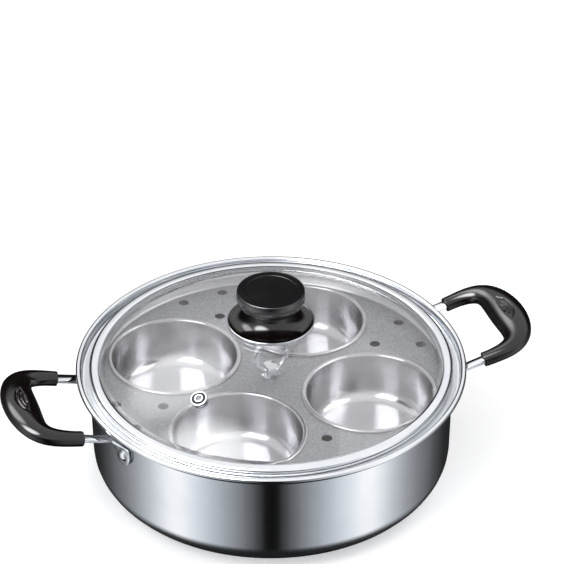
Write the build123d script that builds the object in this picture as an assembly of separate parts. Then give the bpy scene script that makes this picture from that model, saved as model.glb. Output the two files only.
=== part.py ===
import math
import os

from build123d import *

# A stovetop egg poacher: a two-handled steel pan, a loose tray that holds four cups
# and a lift ring, and a domed glass lid with a knob.
# Millimetres. The pan stands on Z = 0, its axis is Z and its handles lie along X.

# Shared clearances
overrun = 6.0              # how far a cutting tool passes the faces that it cuts
seat_gap = 0.3             # air under each piece that lifts out, and beside it
bed_gap = 0.2              # bedding between two fixed pieces, one of them curved
fit_gap = 0.05             # round a pin or a screw in its hole

# Pan
pan_height = 82.0          # table to the top of the lip
pan_sheet = 0.8
wall_radius = 119.5        # outside, just under the step
wall_taper = 0.7           # how far the wall draws in, down to the bottom corner
foot_corner = 18.0
step_depth = 5.4           # top of the lip down to the seat of the tray
step_width = 4.7           # wall out to the step's upright
step_inner_bend = 1.0
step_outer_bend = 2.0
step_lean = 1.1            # how far the upright leans out on its way to the lip
lip_bend = 0.9
lip_width = 2.7
lip_edge_bend = 0.5
lip_drop = 2.0             # height of the lip's turned-down edge

# Base
core_thickness = 3.0
core_edge = 1.6
core_play = 2.2            # between the core and the wall of its cap
cap_sheet = 0.6
cap_edge = 2.2

# Tray
tray_sheet = 0.8
tray_turn = 8.6            # how far the loose tray is turned in the pan
tray_play = 1.1            # between the tray and the pan's wall, and its step
flange_bend = 1.2
plate_depth = 12.3         # top of the lip down to the top of the plate
plate_draft = 4.3          # flange in to the plate's corner
plate_bend = 2.5
cup_count = 4
cup_margin = 3.6           # cup hole to the plate's corner
cup_gap = 6.6              # between two rims
steam_radius = 3.5
steam_inner_margin = 35.7  # plate's corner in to the inner steam hole of each three
steam_outer_margin = 8.0   # and to the outer two
steam_spread = 8.05        # of the outer two, in degrees

# Cups
cup_sheet = 0.6
cup_depth = 32.0
cup_play = 0.8             # round the cup in its hole
cup_draft = 4.3            # how far the cup draws in, down to its bottom corner
cup_bottom_bend = 9.0
cup_wall_bend = 0.8
cup_rim_lap = 1.9          # how far the rim reaches past the hole
cup_rim_bend = 0.4
cup_rim_drop = 1.4         # height of the rolled rim

# Lift ring and its stud
ring_wire = 3.6
ring_diameter = 27.0
ring_play = 0.25
ring_axis_height = 3.5     # above the plate
stud_diameter = 12.0
stud_flats = 7.2           # thickness along the ring's hinge line
stud_foot = 0.6            # height of the round foot under the flats
stud_height = 7.4
stud_edge = 0.8
stud_shank_diameter = 5.0
stud_washer_diameter = 12.0
stud_washer_thickness = 0.8
stud_head_diameter = 8.0
stud_head_height = 1.2

# Lid
band_inset = 2.9           # tray's edge in to the band
band_sheet = 0.5
band_height = 5.4
band_bend = 0.9
band_top_width = 6.6
band_foot_width = 5.0
glass_thickness = 4.0
glass_rise = 31.6          # edge to crown
glass_play = 0.5           # between the glass and the upright of its band
glass_flat_width = 7.4     # edge in to where the dome starts
glass_blend = 6.0
glass_hole_radius = 4.5
vent_inset = 31.0          # start of the dome in to the vent
vent_angle = 217.4
vent_hole_radius = 4.2
vent_tube_radius = 3.9
vent_bore_radius = 2.0
vent_flange_radius = 5.5
vent_flange_height = 1.3
vent_lip_width = 0.9       # rim of the flange, round its dish
vent_dish_depth = 0.5
vent_collar_width = 0.9    # raised ring between the dish and the bore
vent_collar_rise = 0.3     # above the flange
vent_washer_thickness = 0.8
vent_roll_radius = 5.0
vent_roll_height = 0.8

# Knob
knob_radius = 21.7
knob_body_height = 14.4    # top down to the root of the body
knob_belly_inset = 1.5
knob_belly_share = 0.722   # of the body's height, top down to the belly
knob_root_inset = 8.1
knob_neck_inset = 2.0      # root in to the neck
knob_edge = 0.8
disc_inset = 5.2           # edge of the knob in to the disc
disc_thickness = 0.7
disc_recess = 0.9
skirt_radius = 28.4
skirt_edge_height = 1.0
skirt_play = 0.24          # glass up to the skirt's edge
skirt_edge_width = 1.4
skirt_height = 6.6
skirt_top_inset = 0.8      # collar in to the top of the skirt
skirt_throat_step = 2.6    # top of the skirt out to its throat
skirt_throat_share = 0.455 # of the skirt's height, up to its throat
collar_width = 1.8
collar_height = 1.7
collar_play = 0.4          # collar to the root of the knob's body
gasket_radius = 9.0
gasket_thickness = 1.0
insert_radius = 4.2
insert_length = 10.0
screw_radius = 2.5
screw_tip_gap = 1.0
screw_head_radius = 4.6
screw_head_height = 2.8
screw_head_bend = 0.8
washer_radius = 9.0
washer_thickness = 1.0
under_gasket_radius = 8.0
under_gasket_play = 0.1    # glass down to the gasket's edge

# Handles
grip_gap = 8.5             # lip out to the grip's ends
grip_drop = 7.2            # top of the lip down to the middle of the grip's ends
grip_tilt = 15.0           # the grip rises outwards, in degrees
grip_half_span = 34.3
grip_shoulder_flare = 1.7  # how much wider the grip is at its corners than at its ends
grip_depth = 32.3          # grip's ends to its middle, along the tilted plane
grip_corner = 21.0
grip_end_width = 10.5
grip_mid_width = 24.0
grip_end_thickness = 9.5
grip_mid_thickness = 12.5
grip_section_count = 13
strap_width = 7.0
strap_thickness = 2.0
strap_bend = 4.5           # where an arm turns down into its tab
strap_lap = 4.0            # how far the arms reach into the grip
tab_angle = 21.0           # from the handle's axis, in degrees
tab_width = 13.0
tab_tail = 7.1             # rivet down to the tab's end
rivet_radius = 2.4
rivet_play = 0.1           # between the rivet's head and the bend above it
rivet_head_radius = 4.0
rivet_head_height = 1.8
rivet_inner_head_radius = 4.0
rivet_inner_head_height = 1.2

# Radii worked out from the sizes above
foot_radius = wall_radius - wall_taper
step_radius = wall_radius + step_width
lip_bend_radius = step_radius + step_lean
lip_radius = lip_bend_radius + lip_width
cap_radius = foot_radius - foot_corner
core_radius = cap_radius - cap_sheet - core_play
flange_radius = step_radius - pan_sheet - tray_play
flange_bend_radius = wall_radius - pan_sheet - tray_play
plate_radius = flange_bend_radius - plate_draft
steam_inner_circle = plate_radius - steam_inner_margin
steam_outer_circle = plate_radius - steam_outer_margin
cup_spread = math.sin(math.pi / cup_count)
cup_hole_radius = (plate_radius - cup_margin) * cup_spread - cup_rim_lap - cup_gap / 2
cup_hole_radius = cup_hole_radius / (1 + cup_spread)
cup_circle = plate_radius - cup_margin - cup_hole_radius
cup_rim_radius = cup_hole_radius + cup_rim_lap
cup_wall_radius = cup_hole_radius - cup_play
cup_bottom_radius = cup_wall_radius - cup_draft
ring_radius = (ring_diameter - ring_wire) / 2
band_radius = flange_radius - band_inset
band_top_inner_radius = band_radius - band_top_width
band_foot_inner_radius = band_radius - band_foot_width
glass_edge_radius = band_radius - band_sheet - glass_play
glass_dome_radius = glass_edge_radius - glass_flat_width
dome_sphere = (glass_dome_radius ** 2 + glass_rise ** 2) / (2 * glass_rise)
vent_circle = glass_dome_radius - vent_inset
knob_root_radius = knob_radius - knob_root_inset
knob_neck_radius = knob_root_radius - knob_neck_inset
collar_radius = knob_neck_radius + collar_width
skirt_top_radius = collar_radius - skirt_top_inset
grip_reach = lip_radius + grip_gap
arm_root_radius = math.hypot(grip_reach, grip_half_span)

# Levels worked out from the sizes above
floor_z = core_thickness + cap_sheet
seat_z = pan_height - step_depth
step_z = seat_z - pan_sheet
flange_under_z = seat_z + seat_gap
flange_top_z = flange_under_z + tray_sheet
plate_top_z = pan_height - plate_depth
plate_under_z = plate_top_z - tray_sheet
cup_rim_under_z = plate_top_z + seat_gap + cup_rim_drop - cup_sheet
cup_rim_top_z = cup_rim_under_z + cup_sheet
cup_bottom_z = cup_rim_top_z - cup_depth
ring_axis_z = plate_top_z + ring_axis_height
band_foot_z = flange_top_z + seat_gap
band_top_z = band_foot_z + band_height
glass_edge_top_z = band_top_z - band_sheet - bed_gap
crown_z = glass_edge_top_z + glass_rise
skirt_top_z = crown_z + skirt_height
knob_root_z = skirt_top_z + collar_height + collar_play
knob_top_z = knob_root_z + knob_body_height
grip_end_z = pan_height - grip_drop


def arm_top_at(radius):
    # Height of an arm's upper face, which slopes as the grip does
    lean = math.radians(grip_tilt)
    middle_z = grip_end_z - (arm_root_radius - radius) * math.tan(lean)
    return middle_z + strap_thickness / 2 / math.cos(lean)


def turned(outline):
    return revolve(make_face(outline), Axis.Z)


def pressed(points, bends, sheet, side=Side.LEFT):
    # A sheet of even thickness that follows one face's path, turned about the axis
    path = FilletPolyline(*points, radius=bends)
    section = make_face(offset(path, sheet, side=side))
    return revolve(Plane.XZ * section, Axis.Z)


def tab_bend_z():
    # Where the outside of a tab starts to bend out into its arm
    half_turn = math.radians(90 - grip_tilt) / 2
    return arm_top_at(wall_radius) - strap_bend * math.tan(half_turn)


def rivet_level():
    return tab_bend_z() - rivet_play - rivet_head_radius


def disc(radius, low, high):
    return Pos(0, 0, (low + high) / 2) * Cylinder(radius, high - low)


def washer(outer, inner, low, high):
    return disc(outer, low, high) - disc(inner, low - overrun, high + overrun)


def around(shape, radius, angle):
    return Rot(0, 0, angle) * Pos(radius, 0, 0) * shape


def wall_at(height):
    # Outside radius of the pan's slightly tapered wall
    share = (height - floor_z) / (step_z - floor_z)
    return foot_radius + (wall_radius - foot_radius) * share


def rivet_hole():
    hole = Rot(0, 90, 0) * Cylinder(rivet_radius + fit_gap, 2 * overrun)
    return Pos(0, 0, rivet_level()) * hole


def tab_angles(side_angle):
    return [side_angle - tab_angle, side_angle + tab_angle]


def pan_body():
    lip_under_z = pan_height - pan_sheet
    points = [
        (0, floor_z),
        (foot_radius, floor_z),
        (wall_radius, step_z),
        (step_radius, step_z),
        (lip_bend_radius, lip_under_z),
        (lip_radius - pan_sheet, lip_under_z),
        (lip_radius - pan_sheet, pan_height - lip_drop),
    ]
    bends = [foot_corner, step_inner_bend, step_outer_bend, lip_bend, lip_edge_bend]
    body = pressed(points, bends, pan_sheet)
    for side_angle in (0, 180):
        for angle in tab_angles(side_angle):
            body -= around(rivet_hole(), wall_radius, angle)
    return body


def base_core():
    core = disc(core_radius, cap_sheet, floor_z)
    return fillet(core.edges().group_by(Axis.Z)[0], core_edge)


def base_cap():
    points = [(0, 0), (cap_radius, 0), (cap_radius, floor_z)]
    return pressed(points, [cap_edge], cap_sheet)


def strap_path():
    # Middle line of the strap and of the grip, in the grip's own tilted plane
    shoulder_span = grip_half_span + grip_shoulder_flare
    points = [
        (0, grip_half_span),
        (grip_depth, shoulder_span),
        (grip_depth, -shoulder_span),
        (0, -grip_half_span),
    ]
    return FilletPolyline(*points, radius=grip_corner)


def grip_plane():
    lean = math.radians(grip_tilt)
    return Plane(
        origin=(grip_reach, 0, grip_end_z),
        x_dir=(math.cos(lean), 0, math.sin(lean)),
        z_dir=(-math.sin(lean), 0, math.cos(lean)),
    )


def strap_core():
    # The strap inside the grip
    outline = offset(strap_path(), strap_width / 2, side=Side.BOTH)
    core = extrude(make_face(outline), strap_thickness / 2, both=True)
    room = Box(2 * grip_depth, 4 * grip_half_span, 2 * strap_thickness)
    return grip_plane() * (core & Pos(grip_depth, 0, 0) * room)


def tab_heading():
    turn = math.radians(tab_angle)
    return Vector(math.cos(turn), math.sin(turn))


def arm_prism():
    # Seen from above: an arm that spreads at the wall into its tab
    ahead = tab_heading()
    edge = ahead.rotate(Axis.Z, 90) * (tab_width / 2)
    inner_y = grip_half_span - strap_width / 2
    outer_y = grip_half_span + strap_width / 2
    end_x = grip_reach + strap_lap
    bend_radius = wall_radius + strap_bend
    outline = Polyline(
        (end_x, inner_y),
        ((wall_radius - overrun) * ahead.X, inner_y),
        ahead * (wall_radius - overrun) + edge,
        ahead * (wall_radius + strap_thickness) + edge,
        (math.sqrt(bend_radius ** 2 - outer_y ** 2), outer_y),
        (end_x, outer_y),
        close=True,
    )
    return extrude(make_face(outline), pan_height)


def tab_prism():
    # Seen from the side: the tab's round end, and its shoulder up to the arm
    half = tab_width / 2
    round_z = rivet_level() - tab_tail + half
    shoulder_z = tab_bend_z()
    outline = Polyline(
        (half, round_z),
        (half, pan_height),
        (-2 * tab_width, pan_height),
        (-2 * tab_width, shoulder_z),
        (-tab_width, shoulder_z),
        (-half, round_z),
        close=True,
    )
    plate = make_face(outline) + Pos(0, round_z) * Circle(half)
    return extrude(Rot(0, 0, tab_angle) * (Plane.YZ * plate), 2 * grip_reach, dir=tab_heading())


def strap_end():
    # One arm and its tab: a strip bent down at the wall and cut to its two outlines
    far = arm_root_radius + strap_lap + strap_width
    points = [
        (wall_radius, rivet_level() - tab_tail - overrun),
        (wall_radius, arm_top_at(wall_radius)),
        (far, arm_top_at(far)),
    ]
    strip = pressed(points, [strap_bend], strap_thickness, Side.RIGHT)
    strip = strip & arm_prism() & tab_prism()
    return strip - around(rivet_hole(), wall_radius, tab_angle)


def right_bracket():
    end = strap_end()
    return strap_core() + end + mirror(end, Plane.XZ)


def grip_section(path, along):
    bulge = math.sin(math.pi * along) ** 2
    width = grip_end_width + (grip_mid_width - grip_end_width) * bulge
    thickness = grip_end_thickness + (grip_mid_thickness - grip_end_thickness) * bulge
    heading = path.tangent_at(along)
    across = heading.cross(Vector(0, 0, 1))
    plane = Plane(origin=path.position_at(along), x_dir=across, z_dir=heading)
    return plane * Ellipse(width / 2, thickness / 2)


def grip_blank():
    path = strap_path()
    last = grip_section_count - 1
    sections = [grip_section(path, place / last) for place in range(grip_section_count)]
    return grip_plane() * loft(sections)


def opposite(shape):
    return Rot(0, 0, 180) * shape


def rivet(angle):
    level = rivet_level()
    inner_face = wall_at(level) - pan_sheet - bed_gap
    outer_face = wall_radius + strap_thickness
    head_sphere = (rivet_head_radius ** 2 + rivet_head_height ** 2) / (2 * rivet_head_height)
    dome = Sphere(head_sphere) & disc(head_sphere, head_sphere - rivet_head_height, head_sphere)
    dome = Pos(0, 0, outer_face - (head_sphere - rivet_head_height)) * dome
    shank = disc(rivet_radius, inner_face, outer_face + bed_gap)
    inner_head = disc(rivet_inner_head_radius, inner_face - rivet_inner_head_height, inner_face)
    body = dome + shank + inner_head
    return Rot(0, 0, angle) * Pos(0, 0, level) * Rot(0, 90, 0) * body


def tray_frame(shape):
    return Rot(0, 0, tray_turn) * shape


def cup_angles():
    step = 360 / cup_count
    return [step / 2 + step * place for place in range(cup_count)]


def tray_plate():
    points = [
        (0, plate_under_z),
        (plate_radius, plate_under_z),
        (flange_bend_radius, flange_under_z),
        (flange_radius, flange_under_z),
    ]
    plate = pressed(points, [plate_bend, flange_bend], tray_sheet)
    cup_hole = disc(cup_hole_radius, plate_under_z - overrun, plate_top_z + overrun)
    steam_hole = disc(steam_radius, plate_under_z - overrun, plate_top_z + overrun)
    for angle in cup_angles():
        plate -= around(cup_hole, cup_circle, angle)
        zone = angle - 180 / cup_count
        plate -= around(steam_hole, steam_inner_circle, zone)
        for spread in (-steam_spread, steam_spread):
            plate -= around(steam_hole, steam_outer_circle, zone + spread)
    plate -= disc(stud_shank_diameter / 2, plate_under_z - overrun, plate_top_z + overrun)
    return tray_frame(plate)


def eye_tool():
    # Everything that the ring's wire can touch as it swings about the hinge line
    reach = stud_diameter
    play_radius = ring_wire / 2 + ring_play
    blank = Rot(0, 90, 0) * Cylinder(ring_radius, reach)
    mouth = Rot(0, 90, 0) * Torus(ring_radius, ring_radius - play_radius)
    return Pos(0, 0, ring_axis_z) * (blank - mouth)


def ring_stud():
    shank_radius = stud_shank_diameter / 2
    head_top_z = plate_under_z - stud_washer_thickness
    body = disc(stud_diameter / 2, plate_top_z, plate_top_z + stud_height)
    body = fillet(body.edges().group_by(Axis.Z)[-1], stud_edge)
    flat_z = plate_top_z + stud_foot
    side_block = Box(stud_diameter, 2 * stud_diameter, 2 * stud_height)
    for side in (-1, 1):
        place = side * (stud_flats + stud_diameter) / 2
        body -= Pos(place, 0, flat_z + stud_height) * side_block
    body -= eye_tool()
    body += disc(shank_radius, head_top_z, plate_top_z)
    body += disc(stud_head_diameter / 2, head_top_z - stud_head_height, head_top_z)
    return tray_frame(body)


def stud_washer():
    low = plate_under_z - stud_washer_thickness
    return washer(stud_washer_diameter / 2, stud_shank_diameter / 2, low, plate_under_z)


def lift_ring():
    ring = Rot(90, 0, 0) * Torus(ring_radius, ring_wire / 2)
    return tray_frame(Pos(0, 0, ring_axis_z + ring_radius) * ring)


def cup(angle):
    rim_path_radius = cup_rim_radius - cup_sheet
    points = [
        (0, cup_bottom_z),
        (cup_bottom_radius, cup_bottom_z),
        (cup_wall_radius, cup_rim_under_z),
        (rim_path_radius, cup_rim_under_z),
        (rim_path_radius, cup_rim_top_z - cup_rim_drop),
    ]
    bends = [cup_bottom_bend, cup_wall_bend, cup_rim_bend]
    return tray_frame(around(pressed(points, bends, cup_sheet), cup_circle, angle))


def dome_drop(sphere, radius):
    # How far one face of the dome has fallen away from its crown at a radius
    return sphere - math.sqrt(sphere ** 2 - radius ** 2)


def vent_place():
    # The vent's spot on the outside of the dome, square to the glass
    lean = math.asin(vent_circle / dome_sphere)
    height = crown_z - dome_drop(dome_sphere, vent_circle)
    return Rot(0, 0, vent_angle) * Pos(vent_circle, 0, height) * Rot(0, math.degrees(lean), 0)


def lid_glass():
    # The flat edge and the dome, each with its own outline, with a blend between them
    low_z = glass_edge_top_z - glass_thickness
    top_crown = (0, 0, crown_z)
    top_dome = (glass_dome_radius, 0, glass_edge_top_z)
    top_edge = (glass_edge_radius, 0, glass_edge_top_z)
    low_edge = (glass_edge_radius, 0, low_z)
    low_sphere = dome_sphere - glass_thickness
    sphere_drop = low_z - (crown_z - dome_sphere)
    low_dome = (math.sqrt(low_sphere ** 2 - sphere_drop ** 2), 0, low_z)
    low_crown = (0, 0, crown_z - glass_thickness)
    outline = [
        arc_through_crown(top_crown, top_dome, dome_sphere),
        Line(top_dome, top_edge),
        Line(top_edge, low_edge),
        Line(low_edge, low_dome),
        arc_through_crown(low_crown, low_dome, low_sphere),
        Line(low_crown, top_crown),
    ]
    glass = turned(outline)
    bends = glass.edges().filter_by(GeomType.CIRCLE)
    bends = bends.filter_by(lambda edge: abs(edge.radius - glass_dome_radius) < glass_blend)
    glass = fillet(bends, glass_blend)
    glass -= disc(glass_hole_radius, low_crown[2] - overrun, crown_z + overrun)
    glass -= vent_place() * disc(vent_hole_radius, -glass_thickness - overrun, overrun)
    return glass


def arc_through_crown(crown, rim, sphere):
    # Part of the circle whose centre is on the axis, under the crown
    middle_angle = math.asin(rim[0] / sphere) / 2
    drop = sphere * (1 - math.cos(middle_angle))
    middle = (sphere * math.sin(middle_angle), 0, crown[2] - drop)
    return ThreePointArc(crown, middle, rim)


def lid_band():
    points = [
        (band_top_inner_radius, band_top_z),
        (band_radius, band_top_z),
        (band_radius, band_foot_z),
        (band_foot_inner_radius, band_foot_z),
    ]
    return pressed(points, [band_bend, band_bend], band_sheet, Side.RIGHT)


def vent_eyelet():
    # A dished flange with a raised collar round the bore, rolled over under its washer
    washer_low = -glass_thickness - bed_gap - vent_washer_thickness
    collar = vent_bore_radius + vent_collar_width
    dish = vent_flange_radius - vent_lip_width
    body = disc(vent_flange_radius, 0, vent_flange_height)
    body = fillet(body.edges().group_by(Axis.Z)[-1], vent_lip_width / 2)
    body -= disc(dish, vent_flange_height - vent_dish_depth, overrun)
    body += disc(collar, 0, vent_flange_height + vent_collar_rise)
    body = fillet(body.edges().group_by(Axis.Z)[-1], vent_collar_width / 3)
    body += disc(vent_tube_radius, washer_low, 0)
    body += disc(vent_roll_radius, washer_low - vent_roll_height, washer_low)
    body -= disc(vent_bore_radius, -glass_thickness - overrun, overrun)
    return vent_place() * body


def vent_washer():
    top = -glass_thickness - bed_gap
    ring = washer(vent_flange_radius, vent_tube_radius, top - vent_washer_thickness, top)
    return vent_place() * ring


def knob_body():
    belly_z = knob_top_z - knob_body_height * knob_belly_share
    root_z = knob_root_z
    neck_z = skirt_top_z
    top_edge = (knob_radius, 0, knob_top_z)
    belly = (knob_radius - knob_belly_inset, 0, belly_z)
    root = (knob_root_radius, 0, root_z)
    neck_top = (knob_neck_radius, 0, root_z)
    neck_low = (knob_neck_radius, 0, neck_z)
    outline = [
        Line((0, 0, neck_z), (0, 0, knob_top_z)),
        Line((0, 0, knob_top_z), top_edge),
        ThreePointArc(top_edge, belly, root),
        Line(root, neck_top),
        Line(neck_top, neck_low),
        Line(neck_low, (0, 0, neck_z)),
    ]
    body = turned(outline)
    body = fillet(body.edges().group_by(Axis.Z)[-1], knob_edge)
    body -= disc(knob_radius - disc_inset + bed_gap, knob_top_z - disc_recess, knob_top_z + overrun)
    body -= disc(insert_radius, neck_z - overrun, neck_z + insert_length)
    return body


def knob_top_disc():
    low = knob_top_z - disc_recess
    return disc(knob_radius - disc_inset, low, low + disc_thickness)


def knob_collar():
    return washer(collar_radius, knob_neck_radius + fit_gap, skirt_top_z, skirt_top_z + collar_height)


def knob_skirt():
    # A trumpet that opens towards the glass and follows it with its thin edge
    under_z = crown_z + gasket_thickness
    inner = skirt_radius - skirt_edge_width
    edge_low_z = crown_z - dome_drop(dome_sphere, inner) + skirt_play
    edge_top = (skirt_radius, 0, edge_low_z + skirt_edge_height)
    throat_radius = skirt_top_radius + skirt_throat_step
    throat = (throat_radius, 0, crown_z + skirt_height * skirt_throat_share)
    neck = (skirt_top_radius, 0, skirt_top_z)
    bore = screw_radius + bed_gap
    outline = [
        ThreePointArc(edge_top, throat, neck),
        Line(neck, (bore, 0, skirt_top_z)),
        Line((bore, 0, skirt_top_z), (bore, 0, under_z)),
        Line((bore, 0, under_z), (gasket_radius, 0, under_z)),
        Line((gasket_radius, 0, under_z), (inner, 0, edge_low_z)),
        Line((inner, 0, edge_low_z), (skirt_radius, 0, edge_low_z)),
        Line((skirt_radius, 0, edge_low_z), edge_top),
    ]
    return turned(outline)


def knob_gasket():
    return washer(gasket_radius, screw_radius + bed_gap, crown_z, crown_z + gasket_thickness)


def knob_insert():
    top_z = skirt_top_z + insert_length
    body = disc(insert_radius, skirt_top_z, top_z)
    return body - disc(screw_radius + fit_gap, skirt_top_z - overrun, top_z - screw_tip_gap)


def under_gasket_top():
    drop = dome_drop(dome_sphere - glass_thickness, under_gasket_radius)
    return crown_z - glass_thickness - drop - under_gasket_play


def lid_gasket():
    top = under_gasket_top()
    return washer(under_gasket_radius, screw_radius + bed_gap, top - gasket_thickness, top)


def lid_washer():
    top = under_gasket_top() - gasket_thickness
    return washer(washer_radius, screw_radius + fit_gap, top - washer_thickness, top)


def lid_screw():
    head_top = under_gasket_top() - gasket_thickness - washer_thickness
    tip = skirt_top_z + insert_length - 2 * screw_tip_gap
    head = disc(screw_head_radius, head_top - screw_head_height, head_top)
    head = fillet(head.edges().group_by(Axis.Z)[0], screw_head_bend)
    return head + disc(screw_radius, head_top, tip)


def write(name, shape):
    shapes = shape if isinstance(shape, list) else [shape]
    solids = [solid for piece in shapes for solid in piece.solids()]
    whole = solids[0] if len(solids) == 1 else Compound(children=solids)
    export_step(whole, f"parts/{name}.step")


def main():
    os.makedirs("parts", exist_ok=True)
    bracket = right_bracket()
    grip = grip_blank() - bracket
    nodes = {
        "pan_body": pan_body(),
        "base_core": base_core(),
        "base_cap": base_cap(),
        "right_handle_bracket": bracket,
        "left_handle_bracket": opposite(bracket),
        "right_handle_grip": grip,
        "left_handle_grip": opposite(grip),
        "handle_rivets": [rivet(angle) for side in (0, 180) for angle in tab_angles(side)],
        "tray_plate": tray_plate(),
        "ring_stud": ring_stud(),
        "stud_washer": stud_washer(),
        "lift_ring": lift_ring(),
        "lid_glass": lid_glass(),
        "lid_band": lid_band(),
        "vent_eyelet": vent_eyelet(),
        "vent_washer": vent_washer(),
        "knob_body": knob_body(),
        "knob_top_disc": knob_top_disc(),
        "knob_collar": knob_collar(),
        "knob_skirt": knob_skirt(),
        "knob_gasket": knob_gasket(),
        "knob_insert": knob_insert(),
        "lid_gasket": lid_gasket(),
        "lid_washer": lid_washer(),
        "lid_screw": lid_screw(),
    }
    for place, angle in enumerate(cup_angles()):
        nodes[f"cup_{place + 1}"] = cup(angle)
    for name, shape in nodes.items():
        write(name, shape)
        print(name)


main()
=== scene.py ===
# An egg poacher pan on a pale table: steel pan, loose tray with cups, domed glass lid.
import math

import bmesh
import bpy
from mathutils import Matrix, Vector
from mathutils.geometry import interpolate_bezier


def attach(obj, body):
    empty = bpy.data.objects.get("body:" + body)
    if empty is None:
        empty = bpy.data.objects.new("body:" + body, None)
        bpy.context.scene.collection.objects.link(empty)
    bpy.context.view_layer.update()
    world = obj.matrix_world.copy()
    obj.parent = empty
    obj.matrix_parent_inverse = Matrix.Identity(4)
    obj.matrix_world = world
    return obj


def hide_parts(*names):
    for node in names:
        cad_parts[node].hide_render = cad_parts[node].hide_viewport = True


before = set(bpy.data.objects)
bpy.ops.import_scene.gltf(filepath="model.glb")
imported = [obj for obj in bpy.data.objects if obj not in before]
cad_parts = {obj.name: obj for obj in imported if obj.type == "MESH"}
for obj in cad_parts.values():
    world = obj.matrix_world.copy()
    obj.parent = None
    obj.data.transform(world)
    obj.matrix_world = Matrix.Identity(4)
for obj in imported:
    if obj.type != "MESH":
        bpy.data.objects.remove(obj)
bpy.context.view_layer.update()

scene = bpy.context.scene
mm = 0.001
fullTurn = 2 * math.pi
zAxis = Vector((0, 0, 1))
print("frame loaded:", len(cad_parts), "nodes")


# Small tools for colours, nodes and materials

def hexColour(code):
    # sRGB hex to the linear colour that the nodes want
    channels = [int(code[i:i + 2], 16) / 255 for i in (1, 3, 5)]
    linear = [c / 12.92 if c <= 0.04045 else ((c + 0.055) / 1.055) ** 2.4 for c in channels]
    return (*linear, 1.0)


def addNode(tree, kind, inputs=None, **settings):
    # A value is set on the input, and a socket is linked to it
    node = tree.nodes.new(kind)
    for name, value in settings.items():
        setattr(node, name, value)
    for name, value in (inputs or {}).items():
        if isinstance(value, bpy.types.NodeSocket):
            tree.links.new(value, node.inputs[name])
        else:
            node.inputs[name].default_value = value
    return node


def eitherRay(tree, path, first, second):
    # 1 for rays of either kind, 0 for the rest
    return addNode(tree, "ShaderNodeMath", {0: path.outputs[first], 1: path.outputs[second]},
                   operation="MAXIMUM").outputs[0]


def mixShaders(tree, factor, first, second):
    return addNode(tree, "ShaderNodeMixShader", {0: factor, 1: first, 2: second}).outputs[0]


def newMaterial(name):
    material = bpy.data.materials.new(name)
    material.use_nodes = True
    material.node_tree.nodes.clear()
    tree = material.node_tree
    output = addNode(tree, "ShaderNodeOutputMaterial")
    place = addNode(tree, "ShaderNodeTexCoord").outputs["Object"]
    return material, tree, output, place


noiseLow, noiseHigh = 0.3, 0.7


def remap(tree, value, low, high):
    # Noise sits in the middle of its range, so that part is spread over low to high
    node = addNode(tree, "ShaderNodeMapRange", {
        "Value": value, "From Min": noiseLow, "From Max": noiseHigh, "To Min": low, "To Max": high})
    return node.outputs["Result"]


def smoothRange(tree, value, low, high, level=1.0):
    # 0 before low and level after high, with a soft change between them
    node = addNode(tree, "ShaderNodeMapRange", {
        "Value": value, "From Min": low, "From Max": high, "To Max": level},
        interpolation_type="SMOOTHSTEP")
    return node.outputs["Result"]


def noise(tree, place, size, detail=3):
    # size is the width of one grain in millimetres
    scale = 1 / (size * mm)
    moved = addNode(tree, "ShaderNodeMapping", {"Vector": place, "Scale": (scale, scale, scale)})
    grain = addNode(tree, "ShaderNodeTexNoise", {
        "Vector": moved.outputs["Vector"], "Scale": 1.0, "Detail": detail})
    return grain.outputs["Fac"]


def tint(tree, factor, first, second):
    ramp = addNode(tree, "ShaderNodeMix", {"Factor": factor}, data_type="RGBA")
    ramp.inputs[6].default_value = hexColour(first)
    ramp.inputs[7].default_value = hexColour(second)
    return ramp.outputs[2]


def bump(tree, height, depth):
    # depth is the real height of the marks in millimetres
    node = addNode(tree, "ShaderNodeBump", {"Height": height, "Distance": depth * mm, "Strength": 1.0})
    return node.outputs["Normal"]


def radiusOf(tree, place, centre):
    # Distance from an upright axis, for marks left by turning and spinning
    moved = addNode(tree, "ShaderNodeVectorMath", {0: place, 1: (centre[0], centre[1], 0)},
                    operation="SUBTRACT")
    flat = addNode(tree, "ShaderNodeVectorMath", {0: moved.outputs[0], 1: (1, 1, 0)},
                   operation="MULTIPLY")
    return addNode(tree, "ShaderNodeVectorMath", {0: flat.outputs[0]},
                   operation="LENGTH").outputs["Value"]


def turnedMarks(tree, place, centre, size):
    # Fine rings round an axis: noise that changes only with radius and height
    radius = radiusOf(tree, place, centre)
    height = addNode(tree, "ShaderNodeSeparateXYZ", {"Vector": place}).outputs["Z"]
    pair = addNode(tree, "ShaderNodeCombineXYZ", {"X": radius, "Y": height})
    return noise(tree, pair.outputs[0], size, detail=4)


# Light is drawn out a quarter of a turn from the rings
drawnTurn = 0.25
# Width in millimetres of the slow cloud that varies each finish
cloudSize = {"steel": 30, "blast": 25, "plastic": 18}
# Two colours and a range of roughness for each finish, and how far its rings draw light out
steelLook = {
    "polished": {"colour": "#F4F6F9", "dull": "#EBEEF2", "rough": 0.15, "roughMore": 0.19, "aniso": 0.85},
    "satin": {"colour": "#DFDFE1", "dull": "#D0D0D3", "rough": 0.16, "roughMore": 0.22, "aniso": 0.8},
    "flange": {"colour": "#EDEEF0", "dull": "#E0E2E5", "rough": 0.27, "roughMore": 0.36, "aniso": 0.0},
    "brushed": {"colour": "#CFCFD2", "dull": "#C2C2C6", "rough": 0.28, "roughMore": 0.36, "aniso": 0.0},
    # The dark look is painted shade, for the vent eyelet's dish and the side of its flange
    "dark": {"colour": "#343537", "dull": "#292A2C", "rough": 0.2, "roughMore": 0.28, "aniso": 0.0},
    "bright": {"colour": "#F3F4F6", "dull": "#E8EAED", "rough": 0.05, "roughMore": 0.1, "aniso": 0.0},
}


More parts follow.
